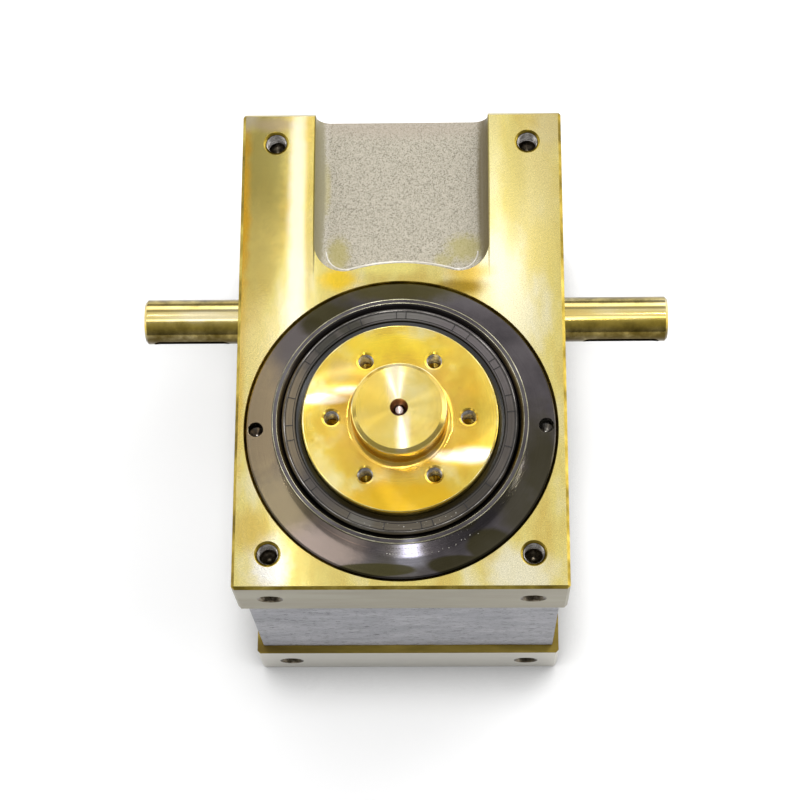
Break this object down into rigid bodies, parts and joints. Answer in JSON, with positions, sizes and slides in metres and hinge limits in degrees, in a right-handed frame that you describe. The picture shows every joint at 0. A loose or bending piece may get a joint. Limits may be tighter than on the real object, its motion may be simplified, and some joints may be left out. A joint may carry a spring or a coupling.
{
  "type": "roller gear cam indexer",
  "caption": "Roller gear cam indexing drive: a cast case with a through input shaft, and an output flange with a centring boss and tapped holes at right angles to it.",
  "frame": {"origin": "on the output axis, at the plane of the rear face", "axes": "+Z along the output axis, out of the flange; +X along the input shaft; +Y from the output axis towards the input axis and the far end of the case"},
  "size_m": [0.1864, 0.166, 0.1446],
  "materials": {
    "cast_case": "machined pads with a golden rust-preventing oil film, cast skin sprayed grey-beige",
    "gold_steel": "turned and ground steel under a golden oil film",
    "black_steel": "turned steel, blackened and oiled",
    "grey_steel": "turned steel, oiled",
    "bearing_steel": "ground bearing steel",
    "cage_steel": "pressed cage",
    "screw_steel": "blackened cap screws",
    "seal_rubber": "oil seal rubber, satin",
    "oring_rubber": "O-ring rubber",
    "copper_washer": "soft copper",
    "clear_window": "clear sight glass",
    "cam_steel": "hardened and ground cam steel"
  },
  "bodies": {
    "case": {"housing": "cast_case", "adjusting_ring": "black_steel", "ring_oring": "oring_rubber", "front_seal": "seal_rubber", "front_bearing_cup": "bearing_steel", "rear_bearing_cup": "bearing_steel", "rear_cover": "grey_steel", "rear_cover_oring": "oring_rubber", "rear_cover_screws": "screw_steel", "input_sleeve_left": "black_steel", "input_sleeve_right": "black_steel", "sleeve_screws_left": "screw_steel", "sleeve_screws_right": "screw_steel", "sleeve_oring_left": "oring_rubber", "sleeve_oring_right": "oring_rubber", "input_seal_left": "seal_rubber", "input_seal_right": "seal_rubber", "input_bearing_cup_left": "bearing_steel", "input_bearing_cup_right": "bearing_steel", "fill_plug": "grey_steel", "drain_plug": "grey_steel", "plug_washers": "copper_washer", "sight_glass_body": "grey_steel", "sight_glass_window": "clear_window", "sight_glass_gasket": "oring_rubber"},
    "input": {"input_shaft": "gold_steel", "globoidal_cam": "cam_steel", "cam_key": "grey_steel", "cam_spacers": "grey_steel", "input_bearing_cone_left": "bearing_steel", "input_bearing_cone_right": "bearing_steel"},
    "output": {"output_shaft": "gold_steel", "turret": "cam_steel", "turret_key": "grey_steel", "follower_studs": "cam_steel", "follower_set_screws": "screw_steel", "front_bearing_cone": "bearing_steel", "rear_bearing_cone": "bearing_steel", "tail_lock_washer": "grey_steel", "tail_lock_nut": "black_steel"},
    "left_cage": {"input_cage_left": "cage_steel", "input_rollers_left": "bearing_steel"},
    "right_cage": {"input_cage_right": "cage_steel", "input_rollers_right": "bearing_steel"},
    "front_cage": {"front_cage": "cage_steel", "front_rollers": "bearing_steel"},
    "rear_cage": {"rear_cage": "cage_steel", "rear_rollers": "bearing_steel"},
    "roller_1": {"follower_roller_1": "bearing_steel"},
    "roller_2": {"follower_roller_2": "bearing_steel"},
    "roller_3": {"follower_roller_3": "bearing_steel"},
    "roller_4": {"follower_roller_4": "bearing_steel"},
    "roller_5": {"follower_roller_5": "bearing_steel"},
    "roller_6": {"follower_roller_6": "bearing_steel"},
    "roller_7": {"follower_roller_7": "bearing_steel"},
    "roller_8": {"follower_roller_8": "bearing_steel"}
  },
  "joints": [
    {"name": "input_spin", "type": "hinge", "parent": "case", "child": "input", "pos_m": [0, 0.06, 0.0615], "axis": [1, 0, 0], "continuous": true},
    {"name": "output_spin", "type": "hinge", "parent": "case", "child": "output", "pos_m": [0, 0, 0.134], "axis": [0, 0, 1], "continuous": true},
    {"name": "left_cage_spin", "type": "hinge", "parent": "case", "child": "left_cage", "pos_m": [-0.037, 0.06, 0.0615], "axis": [1, 0, 0], "continuous": true},
    {"name": "right_cage_spin", "type": "hinge", "parent": "case", "child": "right_cage", "pos_m": [0.037, 0.06, 0.0615], "axis": [1, 0, 0], "continuous": true},
    {"name": "front_cage_spin", "type": "hinge", "parent": "case", "child": "front_cage", "pos_m": [0, 0, 0.1085], "axis": [0, 0, 1], "continuous": true},
    {"name": "rear_cage_spin", "type": "hinge", "parent": "case", "child": "rear_cage", "pos_m": [0, 0, 0.0295], "axis": [0, 0, 1], "continuous": true},
    {"name": "roller_1_spin", "type": "hinge", "parent": "output", "child": "roller_1", "pos_m": [-0.01167, 0.02818, 0.0615], "axis": [-0.3827, 0.9239, 0], "continuous": true},
    {"name": "roller_2_spin", "type": "hinge", "parent": "output", "child": "roller_2", "pos_m": [-0.02818, 0.01167, 0.0615], "axis": [-0.9239, 0.3827, 0], "continuous": true},
    {"name": "roller_3_spin", "type": "hinge", "parent": "output", "child": "roller_3", "pos_m": [-0.02818, -0.01167, 0.0615], "axis": [-0.9239, -0.3827, 0], "continuous": true},
    {"name": "roller_4_spin", "type": "hinge", "parent": "output", "child": "roller_4", "pos_m": [-0.01167, -0.02818, 0.0615], "axis": [-0.3827, -0.9239, 0], "continuous": true},
    {"name": "roller_5_spin", "type": "hinge", "parent": "output", "child": "roller_5", "pos_m": [0.01167, -0.02818, 0.0615], "axis": [0.3827, -0.9239, 0], "continuous": true},
    {"name": "roller_6_spin", "type": "hinge", "parent": "output", "child": "roller_6", "pos_m": [0.02818, -0.01167, 0.0615], "axis": [0.9239, -0.3827, 0], "continuous": true},
    {"name": "roller_7_spin", "type": "hinge", "parent": "output", "child": "roller_7", "pos_m": [0.02818, 0.01167, 0.0615], "axis": [0.9239, 0.3827, 0], "continuous": true},
    {"name": "roller_8_spin", "type": "hinge", "parent": "output", "child": "roller_8", "pos_m": [0.01167, 0.02818, 0.0615], "axis": [0.3827, 0.9239, 0], "continuous": true}
  ],
  "couplings": [
    {"joint": "output_spin", "follows": "input_spin", "ratio": 0.125},
    {"joint": "left_cage_spin", "follows": "input_spin", "ratio": 0.41691},
    {"joint": "right_cage_spin", "follows": "input_spin", "ratio": 0.41691},
    {"joint": "front_cage_spin", "follows": "input_spin", "ratio": 0.055736},
    {"joint": "rear_cage_spin", "follows": "input_spin", "ratio": 0.053551}
  ]
}
